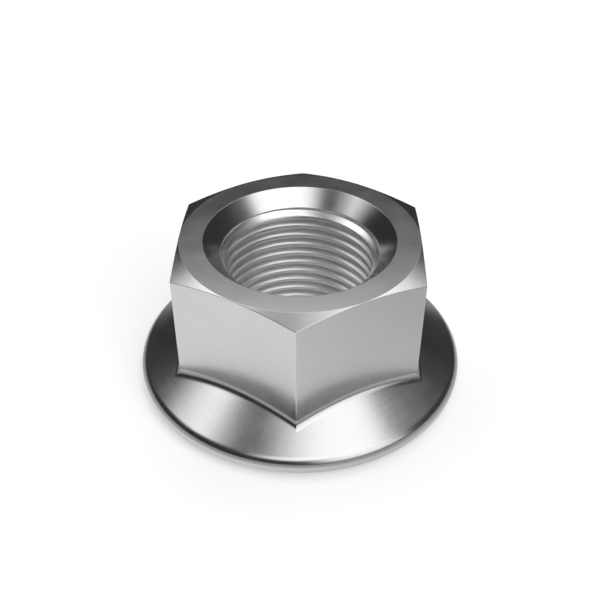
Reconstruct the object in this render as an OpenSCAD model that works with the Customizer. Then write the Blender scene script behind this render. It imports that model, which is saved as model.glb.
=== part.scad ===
// Hexagon nut with a flange, for an M20 x 1.5 fine thread, 30 mm across the flats.
// One forged and turned piece. The bearing face lies on z = 0 round the origin, and the bore runs along Z.
// Two of the hexagon's corners point along Y. The thread is not cut: the bore is plain, as wide as the
// thread is between its crests.

/* [Hexagon] */
// Width across the flats
across_flats = 30; // [28:0.5:36]
// Height of the whole nut
nut_h = 20; // [16:0.5:26]
// Slope of the turned chamfer on the upper corners, from level
corner_slope_a = 21; // [15:1:30]
// How far inside the flats the turned chamfer begins
corner_inset = 0.05; // [0.05:0.05:0.8]
// How much the six upright edges are dulled, measured along a line to the axis
corner_cut = 0.03; // [0.02:0.01:0.1]

/* [Flange] */
// Diameter of the flange
flange_d = 42.8; // [42:0.2:50]
// Thickness of the flange at its edge, which is fully rounded
flange_edge_t = 3; // [2:0.1:4]
// Slope of the flange's upper side, from level
flange_slope_a = 30; // [20:1:32]
// Radius of the fillet along the foot of each flat
foot_r = 1.2; // [0.6:0.1:1.6]

/* [Bore] */
// Nominal diameter of the thread
thread_d = 20; // [16:0.5:22]
// Pitch of the thread
thread_pitch = 1.5; // [1:0.25:2]
// Width of the countersink round the thread, on the top face
countersink_w = 2; // [1:0.1:2.5]
// Full angle of the countersink, and of the chamfer at the bearing face
countersink_a = 90; // [80:5:120]
// Height of the plain wall between the countersink and the first turn of the thread
lead_h = 0.3; // [0.1:0.1:1]
// Width of the chamfer round the thread, on the bearing face
lower_mouth_w = 0.5; // [0.2:0.1:1]

/* [Hidden] */
$fn = 96;

// The 60 degree thread's own form
flank_a = 30;
thread_h = thread_pitch / (2 * tan(flank_a));
crest_cut = 5 / 8;
thread_r = thread_d / 2;
minor_r = thread_r - crest_cut * thread_h;

flat_r = across_flats / 2;
corner_r = flat_r / cos(30);
edge_r = flange_edge_t / 2;
edge_centre_r = flange_d / 2 - edge_r;

// Overrun of a cut past the face that it opens, and depth that a shape reaches into its neighbour
over = 0.5;
// Depth that the flange's slope passes under the top of the rounded edge, so that the two cross cleanly
edge_bite = 0.002;
// Depth that the foot's fillet cuts into the wall and into the slope, so that it meets both cleanly
foot_bite = 0.02;

// Height of the flange's slope at a distance from the axis
function slope_z(r) = edge_r + (edge_r - edge_bite) / cos(flange_slope_a)
    + (edge_centre_r - r) * tan(flange_slope_a);

// The line where a flat meets the slope is nearly an arc: its drop from middle to corner, and its radius
half_flat = flat_r * tan(30);
foot_drop = slope_z(flat_r) - slope_z(corner_r);
foot_arc_r = (half_flat * half_flat + foot_drop * foot_drop) / (2 * foot_drop);

// Section of the fillet at the foot of an upright wall, where the slope falls away from a height on the wall.
// x runs outwards and y runs up.
module foot_section(wall, foot_z) {
    inset = foot_r - foot_bite;
    centre = [wall + inset, foot_z + inset * (1 / cos(flange_slope_a) - tan(flange_slope_a))];
    low = centre - (foot_r + over) * [sin(flange_slope_a), cos(flange_slope_a)];
    difference() {
        polygon([[wall - over, centre[1]], centre, low, [wall - over, low[1]]]);
        translate(centre)
            circle(r = foot_r);
    }
}

// The turned piece that the six flats are cut on. Its wall is what dulls the upright edges.
module blank() {
    wall_r = corner_r - corner_cut;
    chamfer_r = flat_r - corner_inset;
    drop = (wall_r - chamfer_r) * tan(corner_slope_a);
    rotate_extrude()
        union() {
            polygon([[0, edge_r], [wall_r, edge_r], [wall_r, nut_h - drop], [chamfer_r, nut_h], [0, nut_h]]);
            foot_section(wall_r, slope_z(wall_r) - corner_cut);
        }
}

// Takes away all that is outside the flat that faces +X. Its lower end follows the arc of the flat's foot.
// Its two sides stop just short of the corners, where the blank has nothing left to cut.
module flat_cut() {
    reach = corner_r + 2 * foot_r;
    half_w = (reach - corner_cut) * tan(30);
    intersection() {
        translate([0, 0, slope_z(flat_r) - foot_arc_r])
            rotate([0, 90, 0])
                rotate_extrude()
                    difference() {
                        translate([foot_arc_r - slope_z(flat_r), flat_r])
                            square([foot_arc_r, reach - flat_r]);
                        mirror([1, -1])
                            foot_section(flat_r, foot_arc_r);
                    }
        linear_extrude(height = nut_h + over)
            polygon([[corner_cut, 0], [reach, -half_w], [reach, half_w]]);
    }
}

module hexagon() {
    difference() {
        blank();
        for (i = [0 : 5])
            rotate([0, 0, 60 * i])
                flat_cut();
    }
}

module flange() {
    rise = edge_r - edge_bite;
    slope_end = [edge_centre_r + rise * sin(flange_slope_a), edge_r + rise * cos(flange_slope_a)];
    inner_r = flat_r - over;
    rotate_extrude()
        union() {
            polygon([[0, 0], [edge_centre_r, 0], [edge_centre_r, edge_r], slope_end,
                     [inner_r, slope_z(inner_r)], [0, slope_z(inner_r)]]);
            translate([edge_centre_r, edge_r])
                circle(r = edge_r);
        }
}

module bore() {
    widen = tan(countersink_a / 2);
    countersink_h = countersink_w / widen;
    lower_mouth_r = thread_r + lower_mouth_w;
    lead_z = nut_h - countersink_h - lead_h;
    shoulder_z = lead_z - (thread_r - minor_r) * tan(flank_a);
    rotate_extrude()
        polygon([
            [0, -over],
            [lower_mouth_r + over * widen, -over],
            [minor_r, (lower_mouth_r - minor_r) / widen],
            [minor_r, shoulder_z],
            [thread_r, lead_z],
            [thread_r, lead_z + lead_h],
            [thread_r + countersink_w + over * widen, nut_h + over],
            [0, nut_h + over]
        ]);
}

module flange_nut() {
    color("silver")
        difference() {
            union() {
                flange();
                hexagon();
            }
            bore();
        }
}

flange_nut();
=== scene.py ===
import math
import bmesh
import bpy
import numpy as np
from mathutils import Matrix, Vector


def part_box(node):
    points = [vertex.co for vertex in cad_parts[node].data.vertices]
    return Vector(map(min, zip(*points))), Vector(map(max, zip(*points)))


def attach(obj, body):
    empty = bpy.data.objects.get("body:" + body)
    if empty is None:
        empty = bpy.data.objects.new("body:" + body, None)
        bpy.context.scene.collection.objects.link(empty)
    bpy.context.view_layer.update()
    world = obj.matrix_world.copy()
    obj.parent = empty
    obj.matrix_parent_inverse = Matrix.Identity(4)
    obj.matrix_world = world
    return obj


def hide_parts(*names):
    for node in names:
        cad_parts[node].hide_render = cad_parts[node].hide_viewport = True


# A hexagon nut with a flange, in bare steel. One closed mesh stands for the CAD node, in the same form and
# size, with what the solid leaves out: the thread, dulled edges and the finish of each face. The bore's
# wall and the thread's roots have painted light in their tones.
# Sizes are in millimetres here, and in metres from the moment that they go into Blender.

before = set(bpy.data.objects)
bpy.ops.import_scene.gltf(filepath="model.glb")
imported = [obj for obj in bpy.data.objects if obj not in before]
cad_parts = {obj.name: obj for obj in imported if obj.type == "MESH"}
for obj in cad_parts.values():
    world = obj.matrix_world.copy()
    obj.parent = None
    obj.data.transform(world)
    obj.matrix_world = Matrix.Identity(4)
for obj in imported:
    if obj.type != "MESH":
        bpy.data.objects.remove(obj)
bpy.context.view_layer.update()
MM = 0.001

# Hexagon
ACROSS_FLATS = 30.0
CORNER_SLOPE = math.radians(21)
CORNER_INSET = 0.05

# Flange
EDGE_T = 3.0
FLANGE_SLOPE = math.radians(30)
FOOT_R = 1.2

# Bore. The thread's depth is a share of the full height of its triangle, and its crest's width is a share of
# the pitch.
THREAD_D = 20.0
PITCH = 1.5
FLANK = math.radians(30)
DEPTH_SHARE = 5 / 8
CREST_SHARE = 1 / 4
COUNTERSINK_W = 2.0
LOWER_MOUTH_W = 0.5
# The uppermost crest has this height at this azimuth, and runs out between two azimuths, in degrees
FIRST_CREST_Z = 16.98
FIRST_CREST_AT = 91.5
RUN_OUT = (250.0, 320.0)

# Radii of the dulled edges, and of the thread's roots and crests
UPRIGHT_EDGE_R = 0.08
WALL_TOP_EDGE_R = 0.05
COUNTERSINK_EDGE_R = 0.03
CHAMFER_TOP_EDGE_R = 0.05
CHAMFER_FOOT_EDGE_R = 0.07
LOWER_MOUTH_EDGE_R = 0.1
ROOT_EDGE_R = 0.07
CREST_EDGE_R = 0.05

# Finishes, in the order of the faces' material numbers. Each has a tone, the least and the most roughness,
# and the depths in millimetres of its grain and of its turned rings. The thread's tone is that of its crests,
# and a last value is that of its roots, which is painted lighter as painted light against the shade there.
STEEL_TONE = 0.58
FINISHES = {
    "steel_forged": (STEEL_TONE, (0.20, 0.25), 0.0006, 0.0002),
    "steel_faced": (STEEL_TONE, (0.26, 0.31), 0.0022, 0.0008),
    "steel_turned": (STEEL_TONE, (0.20, 0.25), 0.0002, 0.0005),
    # The thread's roots are painted lighter than its crests: painted light against their shade.
    "steel_tapped_painted_root_light": (0.60, (0.33, 0.39), 0.0003, 0.0006, 0.93),
    "steel_bearing": (STEEL_TONE, (0.26, 0.31), 0.0012, 0.0015),
    # The bored wall's tone is lighter than the other steel's: painted light in the bore.
    "steel_bored_painted_light": (0.82, (0.26, 0.32), 0.0002, 0.0004),
}
FORGED, FACED, TURNED, TAPPED, BEARING, BORED = range(6)
# The tapped finish ends at this share of a pitch above the uppermost crest
TAPPED_ABOVE = 1 / 7
# A mesh attribute is 1 on an edge and falls off over WEAR_W. Worn steel is a little lighter and smoother.
WEAR = "wear"
WEAR_W = 0.12
WEAR_TONE = 0.03
WEAR_ROUGHNESS = 0.75
# Patches and grain change the tone by so much both ways, and rings the roughness by this share. Noise is
# read between two of its values, where nearly all of it lies.
PATCHES_PER_MM = 0.25
PATCH_RANGE = (0.3, 0.7)
PATCH_TONE = 0.012
GRAIN_PER_MM = 4.0
GRAIN_RANGE = (0.2, 0.8)
GRAIN_TONE = 0.02
RINGS_PER_MM = 5.0
RING_ROUGHNESS = 0.1

# The studio. Edges of the light are given by the sine of the elevation. A notch is an azimuth with an outer
# and an inner half width in degrees, then the sines between which it ends. The low light has an azimuth and
# two half widths as well. The seam is a line in a level plane 1 above the nut, at an azimuth and an offset
# from the axis. Its width runs from its outside to its core, and its fade runs along it.
LIGHT_LEVEL = 1.75
DARK_LEVEL = 0.035
LIGHT_EDGE = (0.525, 0.785)
NOTCHES = ((8, 28, 8, 0.89, 0.79), (-150, 22, 5, 0.84, 0.67))
NOTCH_DEPTH = 0.88
LOW_LIGHT = (-48, 38, 8)
LOW_LIGHT_EDGE = (0.0, 0.45)
LOW_LIGHT_SHARE = 0.9
SEAM_AZIMUTH = 55.5
SEAM_OFFSET = 0.167
SEAM_WIDTH = (0.50, 0.05)
SEAM_FADE = (0.75, -0.10)
SEAM_DEPTH = 0.93
# The least sine of the elevation at which the seam's plane is met
LEAST_UP = 0.01

# The floor has a radius in metres, and lies a hair under the nut
FLOOR_R = 3
FLOOR_SIDES = 96
FLOOR_DROP = 0.02
FLOOR_TONE = 0.9
FLOOR_ROUGHNESS = 0.9
FLOOR_GLOW = 0.33
# What the metal shows of the floor is painted darker towards grazing, by Layer Weight's facing, as a painted
# reflection of dark surroundings, and to the right, by x, as painted shade
FLOOR_PAINTED_REFLECTION = (0.40, 0.64)
FLOOR_PAINTED_REFLECTION_TONE = 0.46
FLOOR_PAINTED_SHADE = (-5, 35)
FLOOR_PAINTED_SHADE_TONE = 0.58

# A black card that stands behind the nut and that only the metal shows: a corner and two sides
CARD = ((-90, 85, 0), (180, 0, 0), (0, 0, 20))
CARD_TONE = 0.02

# The camera of the photograph
CAMERA_SENSOR = 36
CAMERA_LENS = 50.713
CAMERA_NEAREST = 5
CAMERA_DISTANCE = 110.69
CAMERA_TURN = math.radians(1.48)
CAMERA_ELEVATION = math.radians(38.17)
CAMERA_AIM_Z = 10.03

# Worked out from the sizes above and from the CAD's box
low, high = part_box("flange_nut")
NUT_H = high.z / MM
FLANGE_R = min(high.x, high.y, -low.x, -low.y) / MM
FLAT_R = ACROSS_FLATS / 2
CORNER_R = FLAT_R / math.cos(math.radians(30))
EDGE_R = EDGE_T / 2
EDGE_CENTRE_R = FLANGE_R - EDGE_R
CHAMFER_R = FLAT_R - CORNER_INSET
THREAD_R = THREAD_D / 2
MINOR_R = THREAD_R - DEPTH_SHARE * PITCH / (2 * math.tan(FLANK))
WALL_TOP_Z = NUT_H - COUNTERSINK_W
LOWER_MOUTH_R = THREAD_R + LOWER_MOUTH_W

# Columns of the mesh, as angles from one corner of the hexagon to the next, close together at the corner
CORNER_COLUMNS = (0.05, 0.10, 0.15, 0.24)
COLUMNS_BETWEEN = 51
# Rows of the mesh over the foot's fillet and over the flange's edge, and the distance from them of a row that
# keeps the faces beside them flat
FOOT_STEPS = 10
EDGE_STEPS = 18
HOLD = 0.12
# A rounded edge takes up at most this share of the side next to it, and the point that holds it this much
ROUND_SHARE = 0.45
HOLD_SHARE = 0.2
# Steps after which the ball that rolls along the foot has settled in its place
SETTLING_STEPS = 12
# The bore's upper and lower row lie this far into it, and two points closer than TINY are one
BORE_INSET = 0.2
TINY = 1e-6
# A face belongs to a surface when its centre is this near to it, or this near to the faced chamfer
NEAR = 0.02
NEAR_CHAMFER = 0.05


def slope_z(r):
    """Height of the flange's slope at a distance from the axis."""
    return EDGE_R + EDGE_R / math.cos(FLANGE_SLOPE) + (EDGE_CENTRE_R - r) * math.tan(FLANGE_SLOPE)


def brim_z(r):
    """Height of the turned chamfer on the upper corners at a distance from the axis."""
    return NUT_H - (r - CHAMFER_R) * math.tan(CORNER_SLOPE)


def column_angles():
    """Azimuth of each column, from -30 up, and its angle from the nearest corner, in degrees."""
    first, last = CORNER_COLUMNS[-1], 60 - CORNER_COLUMNS[-1]
    between = np.linspace(first, last, COLUMNS_BETWEEN + 2)[1:-1]
    side = np.concatenate([[0], CORNER_COLUMNS, between, 60 - np.array(CORNER_COLUMNS[::-1])])
    azimuth = np.concatenate([-30 + 60 * k + side for k in range(6)])
    return azimuth, np.tile(np.minimum(side, 60 - side), 6)


def round_path(points, radii, steps=3, hold=0.04):
    """Rounds the corners of a path of (r, z) columns. Each corner becomes an arc with a held point on both
    sides, so that the faces beside it stay flat. A radius of 0 keeps the point as it is.
    """
    rows = [points[0]]
    for i in range(1, len(points) - 1):
        before, corner, after = points[i - 1], points[i], points[i + 1]
        if radii[i] == 0:
            rows.append(corner)
            continue
        a, b = before - corner, after - corner
        len_a, len_b = np.linalg.norm(a, axis=-1), np.linalg.norm(b, axis=-1)
        a, b = a / len_a[:, None], b / len_b[:, None]
        inner = np.arccos(np.clip((a * b).sum(-1), -1, 1))
        tangent = np.minimum(radii[i] / np.tan(inner / 2), ROUND_SHARE * np.minimum(len_a, len_b))
        radius = tangent * np.tan(inner / 2)
        middle = a + b
        middle /= np.linalg.norm(middle, axis=-1)[:, None]
        centre = corner + middle * (radius / np.sin(inner / 2))[:, None]
        start, end = corner + a * tangent[:, None], corner + b * tangent[:, None]
        rows.append(start + a * np.minimum(hold, HOLD_SHARE * len_a)[:, None])
        rows.extend(arc(centre, start, end, steps))
        rows.append(end + b * np.minimum(hold, HOLD_SHARE * len_b)[:, None])
    rows.append(points[-1])
    return rows


def arc(centre, start, end, steps):
    """Points of the short arc from start to end round centre, in columns."""
    u, v = start - centre, end - centre
    radius = np.linalg.norm(u, axis=-1)
    turn = np.arccos(np.clip((u * v).sum(-1) / np.maximum(radius * radius, TINY * TINY), -1, 1))
    turn = np.maximum(turn, TINY)
    out = []
    for t in np.linspace(0, 1, steps + 1):
        a = np.sin((1 - t) * turn) / np.sin(turn)
        b = np.sin(t * turn) / np.sin(turn)
        out.append(centre + a[:, None] * u + b[:, None] * v)
    return out


def dulled(angle):
    """The angle from a corner at which the sharp form is read, so that the corner comes out rounded."""
    edge = math.degrees(UPRIGHT_EDGE_R * math.sin(math.radians(30)) / CORNER_R)
    return np.where(angle < edge, (angle * angle + edge * edge) / (2 * edge), angle)


def foot_point(turn, t):
    """(r, z) of the fillet between flat and flange, at an angle from the middle of the flat. It is the path
    of a ball that touches both: t runs from 0 on the flat to 1 on the flange.
    """
    out = FLAT_R + FOOT_R
    u = out * np.tan(turn)
    for _ in range(SETTLING_STEPS):
        r = np.hypot(u, out)
        normal = np.stack([math.sin(FLANGE_SLOPE) * u / r, math.sin(FLANGE_SLOPE) * out / r,
                           np.full_like(r, math.cos(FLANGE_SLOPE))])
        bend = np.arccos(normal[1])
        a = np.sin((1 - t) * bend) / np.sin(bend)
        b = np.sin(t * bend) / np.sin(bend)
        point_u = u - FOOT_R * b * normal[0]
        point_out = out - FOOT_R * (a + b * normal[1])
        u = u + (np.tan(turn) * point_out - point_u)
    z = slope_z(r) + FOOT_R / math.cos(FLANGE_SLOPE) - FOOT_R * b * normal[2]
    return np.stack([np.hypot(point_u, point_out), z], -1)


def outside_rows(from_corner):
    """Rows of (r, z) columns from the top of the bore's wall, over the outside, to the lower mouth."""
    read_at = dulled(from_corner)
    turn = np.radians(30 - read_at)
    pull = np.cos(np.radians(read_at)) / np.cos(np.radians(from_corner))
    n = len(turn)

    def ring(r, z):
        return np.tile([float(r), float(z)], (n, 1))

    flat = FLAT_R / np.cos(turn)
    top_edge = np.stack([flat, brim_z(flat)], -1)
    foot = [foot_point(turn, t) for t in np.linspace(0, 1, FOOT_STEPS + 1)]
    hold_up = foot[0] + [0, HOLD]
    downhill = np.array([math.cos(FLANGE_SLOPE), -math.sin(FLANGE_SLOPE)])
    hold_down = foot[-1] + downhill * HOLD
    upper = round_path(
        [ring(THREAD_R, WALL_TOP_Z - BORE_INSET), ring(THREAD_R, WALL_TOP_Z),
         ring(THREAD_R + COUNTERSINK_W, NUT_H), ring(CHAMFER_R, NUT_H), top_edge, hold_up],
        [0, WALL_TOP_EDGE_R, COUNTERSINK_EDGE_R, CHAMFER_TOP_EDGE_R, CHAMFER_FOOT_EDGE_R, 0])
    upper[-1:] = [hold_up, *foot, hold_down]
    for row in upper:
        row[:, 0] *= pull

    edge = []
    for a in np.linspace(math.pi / 2 - FLANGE_SLOPE, -math.pi / 2, EDGE_STEPS + 1):
        edge.append(ring(EDGE_CENTRE_R + EDGE_R * math.cos(a), EDGE_R + EDGE_R * math.sin(a)))
    before = edge[0] - downhill * HOLD
    lower = round_path(
        [ring(EDGE_CENTRE_R - HOLD, 0), ring(LOWER_MOUTH_R, 0),
         ring(LOWER_MOUTH_R - BORE_INSET, BORE_INSET)],
        [0, LOWER_MOUTH_EDGE_R, 0])
    return [*upper, before, *edge, *lower]


def thread_section():
    """(offset from the crest, radius) of one pitch of the thread, from root to root."""
    half_crest = CREST_SHARE * PITCH / 2
    half_root = half_crest + (THREAD_R - MINOR_R) * math.tan(FLANK)
    corners = [(-PITCH / 2, THREAD_R), (-half_root, THREAD_R), (-half_crest, MINOR_R),
               (half_crest, MINOR_R), (half_root, THREAD_R), (PITCH / 2, THREAD_R)]
    radii = [0, ROOT_EDGE_R, CREST_EDGE_R, CREST_EDGE_R, ROOT_EDGE_R, 0]
    rounded = round_path([np.array([c]) for c in corners], radii, steps=2, hold=0)
    path = np.array([p[0] for p in rounded])
    keep = [0]
    for i in range(1, len(path)):
        if np.linalg.norm(path[i] - path[keep[-1]]) > TINY:
            keep.append(i)
    path = path[keep][1:-1]
    flanks = np.array([(path[2] + path[3]) / 2, (path[-3] + path[-4]) / 2])
    path = np.concatenate([path, flanks])
    return path[np.argsort(path[:, 0])]


def first_crest_z(azimuth):
    """Height of the thread's uppermost crest at an azimuth from -30 to 330 degrees."""
    return FIRST_CREST_Z + PITCH * (azimuth - FIRST_CREST_AT) / 360


def run_out_at(azimuth):
    """How far the uppermost crest has run out at an azimuth: 0 where it is whole and 1 where it is gone."""
    return np.clip((azimuth - RUN_OUT[0]) / (RUN_OUT[1] - RUN_OUT[0]), 0, 1)


def bore_rows(azimuth, wall_z, mouth_z):
    """z and radius of the bore, a row for each point of the thread's section in each turn, from below up.
    The rows follow the right-hand helix. wall_z and mouth_z are where the outside's rows take over.
    """
    section = thread_section()
    crest_z = first_crest_z(azimuth)
    turns_down = math.ceil((FIRST_CREST_Z + PITCH) / PITCH)
    run_out = run_out_at(azimuth)
    z_rows, r_rows = [], []
    for turn in range(-turns_down, 2):
        for offset, radius in section:
            z_rows.append(crest_z + turn * PITCH + offset)
            r = np.full_like(azimuth, radius)
            if turn == 0:
                r = np.maximum(r, MINOR_R + (THREAD_R - MINOR_R) * run_out)
            if turn == 1:
                r[:] = THREAD_R
            r_rows.append(r)
    z, r = np.array(z_rows), np.array(r_rows)
    z, r = meet(z, r, lambda h: LOWER_MOUTH_R - h)
    z, r = meet(z, r, lambda h: THREAD_R - (wall_z - h))
    return np.clip(z, mouth_z, wall_z), r, len(section)


def meet(z, r, limit):
    """Cuts the bore with a cone, limit(z), and moves the nearest row onto the line where they cross."""
    over = r - limit(z)
    for j in range(len(z) - 1):
        crosses = over[j] * over[j + 1] < 0
        share = np.where(crosses, over[j] / np.where(crosses, over[j] - over[j + 1], 1), 0)
        cut_z = z[j] + share * (z[j + 1] - z[j])
        near, far = crosses & (share < 0.5), crosses & (share >= 0.5)
        z[j] = np.where(near, cut_z, z[j])
        z[j + 1] = np.where(far, cut_z, z[j + 1])
        r[j] = np.where(near, limit(cut_z), r[j])
        r[j + 1] = np.where(far, limit(cut_z), r[j + 1])
    return z, np.maximum(r, limit(z))


def outside_grid(rows, direction):
    """Points and faces of the grid over the outside."""
    n = len(direction)
    points, faces = [], []
    for row in rows:
        points.extend(np.column_stack([direction * row[:, :1], row[:, 1]]))
    for j in range(len(rows) - 1):
        for i in range(n):
            k = (i + 1) % n
            faces.append((j * n + i, j * n + k, (j + 1) * n + k, (j + 1) * n + i))
    return points, faces


def bore_index(z, r, direction, points):
    """The number of each point of the bore, which is added to the outside's points. Where a row has reached
    the outside's first or last row, it takes the number of the point there.
    """
    n = len(direction)
    last_row = len(points) - n
    wall_z, mouth_z = points[0][2], points[-1][2]
    index = np.zeros(z.shape, int)
    for j in range(z.shape[0]):
        for i in range(n):
            if z[j, i] >= wall_z - TINY:
                index[j, i] = i
            elif z[j, i] <= mouth_z + TINY:
                index[j, i] = last_row + i
            else:
                index[j, i] = len(points)
                points.append(np.array([*(direction[i] * r[j, i]), z[j, i]]))
    return index


def bore_faces(index, per_turn):
    """The bore's faces. Its last column meets the first one a turn higher up."""
    rows, n = index.shape

    def at(j, i):
        if i == n:
            j, i = j + per_turn, 0
        return index[j, i] if j < rows else i

    faces = []
    for i in range(n):
        for j in range(rows - 1):
            ring = [at(j, i), at(j, i + 1), at(j + 1, i + 1), at(j + 1, i)]
            face = [p for m, p in enumerate(ring) if p != ring[m - 1]]
            if len(set(face)) > 2:
                faces.append(tuple(face))
    return faces


def nut_mesh():
    """The whole nut as one closed mesh: a grid of rows over the outside, and the bore's helical rows."""
    azimuth, from_corner = column_angles()
    direction = np.stack([np.cos(np.radians(azimuth)), np.sin(np.radians(azimuth))], -1)
    rows = outside_rows(from_corner)
    points, faces = outside_grid(rows, direction)
    z, r, per_turn = bore_rows(azimuth, rows[0][0, 1], rows[-1][0, 1])
    faces += bore_faces(bore_index(z, r, direction, points), per_turn)
    mesh = bpy.data.meshes.new("nut_body")
    mesh.from_pydata([Vector(p) * MM for p in points], [], faces)
    mesh.validate()
    return mesh


def finish_of(centre):
    """Number of the material of a face, from the place of its centre in millimetres."""
    r = math.hypot(centre.x, centre.y)
    azimuth = (math.degrees(math.atan2(centre.y, centre.x)) + 30) % 360 - 30
    tapped_z = first_crest_z(azimuth) + PITCH * (TAPPED_ABOVE - run_out_at(azimuth))
    if centre.z < NEAR:
        return BEARING
    if r < LOWER_MOUTH_R - NEAR and centre.z < tapped_z:
        return TAPPED
    if r < THREAD_R + NEAR:
        return BORED
    if r < THREAD_R + COUNTERSINK_W - NEAR:
        return TURNED
    if centre.z > brim_z(r) - NEAR_CHAMFER:
        return FACED
    return FORGED


def edge_distance(point):
    """Distance in millimetres from a point of the surface to the nearest turned or upright edge."""
    r = math.hypot(point.x, point.y)
    off_corner = abs(math.degrees(math.atan2(point.y, point.x)) % 60 - 30)
    to_flat_side = math.sin(math.radians(off_corner)) * r
    flat = FLAT_R / math.cos(math.radians(30 - off_corner))
    away = [math.hypot(r - THREAD_R - COUNTERSINK_W, point.z - NUT_H),
            math.hypot(r - CHAMFER_R, point.z - NUT_H),
            math.hypot(r - flat, point.z - brim_z(flat)),
            math.hypot(r - THREAD_R, point.z - WALL_TOP_Z)]
    if slope_z(CORNER_R) < point.z < NUT_H and r > CHAMFER_R:
        away.append(math.hypot(to_flat_side, r - flat))
    return min(away)


def make_nut():
    """The nut with its finishes, with painted light in the bore's tones, and its worn edges."""
    mesh = nut_mesh()
    bm = bmesh.new()
    bm.from_mesh(mesh)
    bmesh.ops.recalc_face_normals(bm, faces=bm.faces)
    for face in bm.faces:
        face.smooth = True
        face.material_index = finish_of(face.calc_center_median() / MM)
    bm.to_mesh(mesh)
    bm.free()
    wear = mesh.attributes.new(WEAR, "FLOAT", "POINT")
    wear.data.foreach_set("value", [math.exp(-edge_distance(v.co / MM) / WEAR_W) for v in mesh.vertices])
    for name, finish in FINISHES.items():
        mesh.materials.append(steel(name, *finish))
    nut = bpy.data.objects.new("nut", mesh)
    bpy.context.scene.collection.objects.link(nut)
    return nut


def node(tree, kind, inputs=(), **settings):
    """Adds a shader node. inputs are (socket, value or linked output)."""
    made = tree.nodes.new(kind)
    for name, value in settings.items():
        setattr(made, name, value)
    for socket, value in inputs:
        if isinstance(value, bpy.types.NodeSocket):
            tree.links.new(value, made.inputs[socket])
        else:
            made.inputs[socket].default_value = value
    return made


def ramp(tree, value, start, end, low=0.0, high=1.0, smooth=False):
    """A number that runs from low at start to high at end, and stays there outside them."""
    kind = "SMOOTHSTEP" if smooth else "LINEAR"
    made = node(tree, "ShaderNodeMapRange", [("Value", value), ("From Min", start), ("From Max", end),
                                             ("To Min", low), ("To Max", high)], interpolation_type=kind)
    return made.outputs["Result"]


def combine(tree, operation, *values):
    """A number worked out from others by a Math node."""
    return node(tree, "ShaderNodeMath", list(enumerate(values)), operation=operation).outputs[0]


def vector_math(tree, operation, *vectors):
    """The Vector Math node of an operation on one or two vectors."""
    return node(tree, "ShaderNodeVectorMath", list(enumerate(vectors)), operation=operation)


def grey(tree, value):
    """The grey of a number."""
    made = node(tree, "ShaderNodeCombineColor", [("Red", value), ("Green", value), ("Blue", value)])
    return made.outputs[0]


def noise(tree, vector, per_mm, detail=2.0):
    """Noise with so many grains to the millimetre."""
    inputs = [("Vector", vector), ("Scale", per_mm / MM), ("Detail", detail)]
    return node(tree, "ShaderNodeTexNoise", inputs).outputs["Fac"]


def radius_of(tree, position):
    """The distance from the axis, and the unit vector away from it."""
    across = vector_math(tree, "MULTIPLY", position, (1, 1, 0)).outputs[0]
    return (vector_math(tree, "LENGTH", across).outputs["Value"],
            vector_math(tree, "NORMALIZE", across).outputs[0])


def ring_noise(tree, position):
    """Noise that changes fast with the distance from the axis and slowly round it, as turning leaves it."""
    radius, unit = radius_of(tree, position)
    round_it = node(tree, "ShaderNodeSeparateXYZ", [(0, unit)]).outputs
    rings = combine(tree, "MULTIPLY", radius, RINGS_PER_MM / MM)
    at = node(tree, "ShaderNodeCombineXYZ", [("X", round_it["X"]), ("Y", round_it["Y"]), ("Z", rings)])
    inputs = [("Vector", at.outputs[0]), ("Scale", 1.0), ("Detail", 3.0)]
    return node(tree, "ShaderNodeTexNoise", inputs).outputs["Fac"]


def steel_roughness(tree, roughness, patches, rings, wear):
    """Roughness that differs by patches and rings, and is less where the steel is worn."""
    mottled = ramp(tree, patches, *PATCH_RANGE, *roughness)
    streaks = ramp(tree, rings, *GRAIN_RANGE, 1 - RING_ROUGHNESS, 1 + RING_ROUGHNESS)
    streaked = combine(tree, "MULTIPLY", mottled, streaks)
    return combine(tree, "MULTIPLY", streaked, ramp(tree, wear, 0, 1, 1, WEAR_ROUGHNESS))


def steel_tone(tree, tone, patches, grain, wear):
    """Tone that differs by patches and grain, and is lighter where the steel is worn."""
    mottle = combine(tree, "ADD", ramp(tree, patches, *PATCH_RANGE, -PATCH_TONE, PATCH_TONE),
                     ramp(tree, grain, *GRAIN_RANGE, -GRAIN_TONE, GRAIN_TONE))
    return combine(tree, "ADD", mottle, ramp(tree, wear, 0, 1, tone, tone + WEAR_TONE))


def steel(name, tone, roughness, grain_depth, rings_depth, painted_light_root_tone=None):
    """Bare steel. Roughness is (least, most), and the depths of grain and rings are in millimetres. With a
    root tone, the tone grows lighter from a thread's crests to its roots: painted light against the shade in
    the roots.
    """
    material = bpy.data.materials.new(name)
    material.use_nodes = True
    tree = material.node_tree
    shader = tree.nodes["Principled BSDF"]
    shader.inputs["Metallic"].default_value = 1
    position = node(tree, "ShaderNodeTexCoord").outputs["Object"]
    patches = noise(tree, position, PATCHES_PER_MM, detail=4.0)
    grain = noise(tree, position, GRAIN_PER_MM)
    rings = ring_noise(tree, position)
    wear = node(tree, "ShaderNodeAttribute", attribute_name=WEAR).outputs["Fac"]
    tree.links.new(steel_roughness(tree, roughness, patches, rings, wear), shader.inputs["Roughness"])

    bright = steel_tone(tree, tone, patches, grain, wear)
    # Painted light: a root tone paints the thread's roots lighter than its crests, against the shade in them.
    if painted_light_root_tone is not None:
        radius, _ = radius_of(tree, position)
        painted_root_light = ramp(tree, radius, MINOR_R * MM, THREAD_R * MM, 0, painted_light_root_tone - tone)
        bright = combine(tree, "ADD", bright, painted_root_light)
    tree.links.new(grey(tree, bright), shader.inputs["Base Color"])

    fine = node(tree, "ShaderNodeBump", [
        ("Height", grain), ("Distance", grain_depth * MM), ("Strength", 1.0)])
    turned = node(tree, "ShaderNodeBump", [
        ("Height", rings), ("Distance", rings_depth * MM), ("Strength", 1.0), ("Normal", fine.outputs[0])])
    tree.links.new(turned.outputs[0], shader.inputs["Normal"])
    return material


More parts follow.
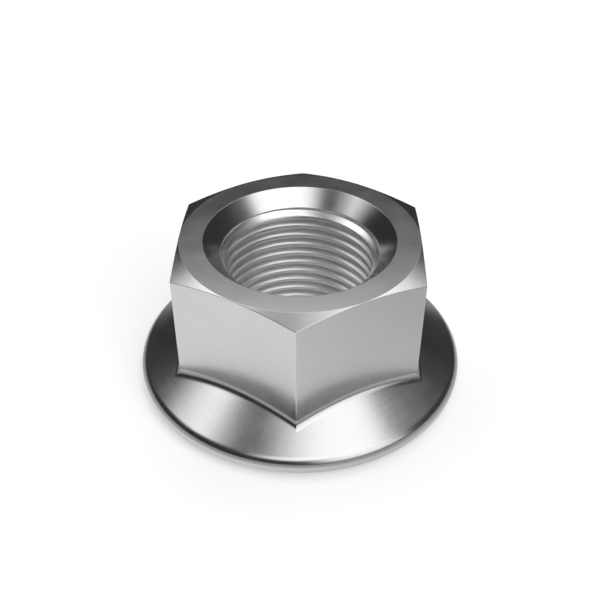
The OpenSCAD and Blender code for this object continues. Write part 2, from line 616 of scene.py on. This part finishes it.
def floor_material():
    """White, with a glow for the camera and the metal. To the metal it is painted dimmer far off, as a
    reflection of dark surroundings, and on the right, as shade.
    """
    material = bpy.data.materials.new("floor")
    material.use_nodes = True
    tree = material.node_tree
    shader = tree.nodes["Principled BSDF"]
    shader.inputs["Roughness"].default_value = FLOOR_ROUGHNESS
    shader.inputs["Emission Color"].default_value = (1, 1, 1, 1)
    ray = node(tree, "ShaderNodeLightPath").outputs
    facing = node(tree, "ShaderNodeLayerWeight", [("Blend", 0.5)]).outputs["Facing"]
    # Painted reflection: at grazing, the floor that the metal shows is painted darker.
    far = ramp(tree, facing, *FLOOR_PAINTED_REFLECTION, 1, FLOOR_PAINTED_REFLECTION_TONE, smooth=True)
    place = node(tree, "ShaderNodeTexCoord").outputs["Object"]
    x = node(tree, "ShaderNodeSeparateXYZ", [(0, place)]).outputs["X"]
    # Painted shade: the floor that the metal shows is painted darker to the right.
    side = ramp(tree, x, FLOOR_PAINTED_SHADE[0] * MM, FLOOR_PAINTED_SHADE[1] * MM, 1, FLOOR_PAINTED_SHADE_TONE)
    not_glossy = combine(tree, "SUBTRACT", 1.0, ray["Is Glossy Ray"])
    share = combine(tree, "MAXIMUM", combine(tree, "MINIMUM", far, side), not_glossy)
    tree.links.new(grey(tree, combine(tree, "MULTIPLY", share, FLOOR_TONE)), shader.inputs["Base Color"])
    direct = combine(tree, "MAXIMUM", ray["Is Camera Ray"], ray["Is Transmission Ray"])
    seen = combine(tree, "MAXIMUM", direct, ray["Is Glossy Ray"])
    glow = combine(tree, "MULTIPLY", combine(tree, "MULTIPLY", seen, share), FLOOR_GLOW)
    tree.links.new(glow, shader.inputs["Emission Strength"])
    return material


def make_floor():
    """The white floor."""
    bm = bmesh.new()
    bmesh.ops.create_circle(bm, cap_ends=True, segments=FLOOR_SIDES, radius=FLOOR_R)
    mesh = bpy.data.meshes.new("floor")
    bm.to_mesh(mesh)
    bm.free()
    mesh.materials.append(floor_material())
    floor = bpy.data.objects.new("floor", mesh)
    floor.location.z = -FLOOR_DROP * MM
    bpy.context.scene.collection.objects.link(floor)


def card_material():
    """Matt black."""
    material = bpy.data.materials.new("back_card")
    material.use_nodes = True
    shader = material.node_tree.nodes["Principled BSDF"]
    shader.inputs["Base Color"].default_value = (CARD_TONE, CARD_TONE, CARD_TONE, 1)
    shader.inputs["Roughness"].default_value = 1
    return material


def make_card():
    """The black card behind the nut."""
    corner, side, up = (Vector(v) * MM for v in CARD)
    mesh = bpy.data.meshes.new("back_card")
    mesh.from_pydata([corner, corner + side, corner + side + up, corner + up], [], [(0, 1, 2, 3)])
    mesh.materials.append(card_material())
    card = bpy.data.objects.new("back_card", mesh)
    bpy.context.scene.collection.objects.link(card)
    card.visible_camera = False
    card.visible_diffuse = False
    card.visible_shadow = False


def toward(tree, level, azimuth, outer, inner):
    """1 within inner degrees of an azimuth and 0 beyond outer degrees, for a level unit direction."""
    along = (math.cos(math.radians(azimuth)), math.sin(math.radians(azimuth)), 0)
    dot = vector_math(tree, "DOT_PRODUCT", level, along).outputs["Value"]
    return ramp(tree, dot, math.cos(math.radians(outer)), math.cos(math.radians(inner)), smooth=True)


def seam_in(tree, direction, up):
    """How much of the overhead light the seam takes away, in a direction. It is a line in a level plane."""
    per_height = combine(tree, "DIVIDE", 1.0, combine(tree, "MAXIMUM", up, LEAST_UP))
    plane = node(tree, "ShaderNodeVectorMath", [(0, direction), ("Scale", per_height)], operation="SCALE")
    turn = math.radians(SEAM_AZIMUTH)
    forwards, sideways = (math.cos(turn), math.sin(turn), 0), (-math.sin(turn), math.cos(turn), 0)
    along = vector_math(tree, "DOT_PRODUCT", plane.outputs[0], forwards).outputs["Value"]
    beside = vector_math(tree, "DOT_PRODUCT", plane.outputs[0], sideways).outputs["Value"]
    off_seam = combine(tree, "ABSOLUTE", combine(tree, "SUBTRACT", beside, SEAM_OFFSET))
    return combine(tree, "MULTIPLY", ramp(tree, off_seam, *SEAM_WIDTH, smooth=True),
                   ramp(tree, along, *SEAM_FADE, 0, SEAM_DEPTH))


def light_in(tree, direction, up):
    """The studio's light in a direction: the wide one overhead and the low one, less seam and notches."""
    across = vector_math(tree, "MULTIPLY", direction, (1, 1, 0)).outputs[0]
    level = vector_math(tree, "NORMALIZE", across).outputs[0]
    low_light = combine(tree, "MULTIPLY", toward(tree, level, *LOW_LIGHT),
                        ramp(tree, up, *LOW_LIGHT_EDGE, 0, LOW_LIGHT_SHARE, smooth=True))
    overhead = combine(tree, "MAXIMUM", ramp(tree, up, *LIGHT_EDGE, smooth=True), low_light)
    lit = combine(tree, "MULTIPLY", overhead, combine(tree, "SUBTRACT", 1.0, seam_in(tree, direction, up)))
    for azimuth, outer, inner, top, full in NOTCHES:
        notch = combine(tree, "MULTIPLY", toward(tree, level, azimuth, outer, inner),
                        ramp(tree, up, top, full, 0, NOTCH_DEPTH, smooth=True))
        lit = combine(tree, "MULTIPLY", lit, combine(tree, "SUBTRACT", 1.0, notch))
    return ramp(tree, lit, 0, 1, DARK_LEVEL, LIGHT_LEVEL)


def make_world():
    """A studio of soft light, given by direction. What is dark in it is what the metal shows as darks.
    The camera sees the white backdrop, and so does metal below the horizon.
    """
    world = bpy.data.worlds.new("studio")
    bpy.context.scene.world = world
    world.use_nodes = True
    tree = world.node_tree
    direction = node(tree, "ShaderNodeTexCoord").outputs["Generated"]
    up = node(tree, "ShaderNodeSeparateXYZ", [(0, direction)]).outputs["Z"]
    studio = light_in(tree, direction, up)
    not_camera = combine(tree, "SUBTRACT", 1.0, node(tree, "ShaderNodeLightPath").outputs["Is Camera Ray"])
    lights = combine(tree, "MULTIPLY", combine(tree, "GREATER_THAN", up, 0.0), not_camera)
    strength = node(tree, "ShaderNodeMix", [("Factor", lights), ("A", 1.0), ("B", studio)])
    background = tree.nodes["Background"]
    background.inputs["Color"].default_value = (1, 1, 1, 1)
    tree.links.new(strength.outputs["Result"], background.inputs["Strength"])


def make_camera():
    """The camera, at the photograph's viewing angle."""
    camera = bpy.data.objects.new("camera", bpy.data.cameras.new("camera"))
    bpy.context.scene.collection.objects.link(camera)
    camera.data.sensor_width = CAMERA_SENSOR
    camera.data.lens = CAMERA_LENS
    camera.data.clip_start = CAMERA_NEAREST * MM
    aim = Vector((0, 0, CAMERA_AIM_Z * MM))
    flat = math.cos(CAMERA_ELEVATION)
    back = Vector((math.sin(CAMERA_TURN) * flat, -math.cos(CAMERA_TURN) * flat, math.sin(CAMERA_ELEVATION)))
    camera.location = aim + back * CAMERA_DISTANCE * MM
    camera.rotation_mode = "QUATERNION"
    camera.rotation_quaternion = (-back).to_track_quat("-Z", "Y")
    bpy.context.scene.camera = camera


nut = make_nut()
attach(nut, "root")
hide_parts("flange_nut")
make_floor()
make_card()
make_world()
make_camera()
bpy.context.scene.view_settings.view_transform = "Standard"
